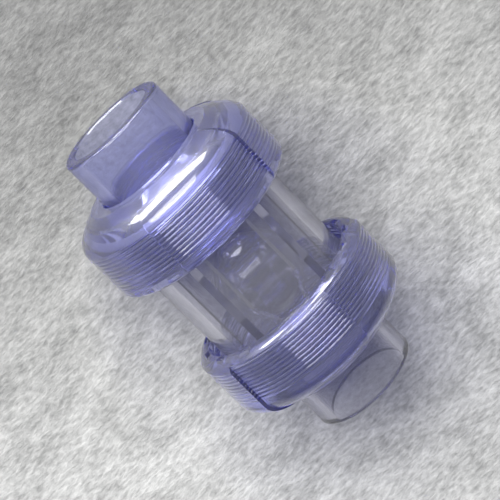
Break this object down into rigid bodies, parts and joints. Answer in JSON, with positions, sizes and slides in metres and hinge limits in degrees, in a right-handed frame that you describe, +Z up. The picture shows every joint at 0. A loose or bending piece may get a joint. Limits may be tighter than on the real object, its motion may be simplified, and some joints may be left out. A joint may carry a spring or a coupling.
{
  "type": "check valve",
  "caption": "Clear plastic in-line ball check valve with a union nut and a plain cement socket at each end, lying on its side.",
  "frame": {"origin": "middle of the valve on the bore axis, which is also the centre of its bounding box to within a millimetre", "axes": "+X along the bore in the flow direction, inlet to outlet; +Z up with the valve lying on its side on both union nuts"},
  "size_m": [0.1292, 0.0744, 0.0728],
  "materials": {
    "clear_body": "clear moulded PVC, faint grey-blue tint, polished",
    "clear_connector": "clear moulded PVC, blue-violet tint, polished",
    "clear_nut": "clear moulded PVC, blue-violet tint, polished",
    "clear_ball": "clear turned plastic, faint grey tint",
    "pale_seal": "translucent silicone, satin"
  },
  "bodies": {
    "housing": {"valve_body": "clear_body", "seat_carrier": "clear_body", "ball_seat_ring": "pale_seal", "carrier_o_ring": "pale_seal"},
    "check_ball": {"ball": "clear_ball"},
    "inlet_end": {"inlet_connector": "clear_connector", "inlet_face_o_ring": "pale_seal"},
    "inlet_nut": {"inlet_union_nut": "clear_nut"},
    "outlet_end": {"outlet_connector": "clear_connector", "outlet_face_o_ring": "pale_seal"},
    "outlet_nut": {"outlet_union_nut": "clear_nut"}
  },
  "joints": [
    {"name": "ball_travel", "type": "slide", "parent": "housing", "child": "check_ball", "axis": [1, 0, 0], "range_m": [-0.0195, 0]},
    {"name": "inlet_union_draw", "type": "slide", "parent": "housing", "child": "inlet_end", "axis": [-1, 0, 0], "range_m": [0, 0.0121]},
    {"name": "inlet_nut_turn", "type": "hinge", "parent": "inlet_end", "child": "inlet_nut", "pos_m": [-0.03, 0, 0], "axis": [-1, 0, 0], "range_deg": [0, 1440]},
    {"name": "outlet_union_draw", "type": "slide", "parent": "housing", "child": "outlet_end", "axis": [1, 0, 0], "range_m": [0, 0.0121]},
    {"name": "outlet_nut_turn", "type": "hinge", "parent": "outlet_end", "child": "outlet_nut", "pos_m": [0.03, 0, 0], "axis": [1, 0, 0], "range_deg": [0, 1440]}
  ],
  "couplings": [
    {"joint": "inlet_union_draw", "follows": "inlet_nut_turn", "m_per_rad": 0.00047746},
    {"joint": "outlet_union_draw", "follows": "outlet_nut_turn", "m_per_rad": 0.00047746}
  ]
}
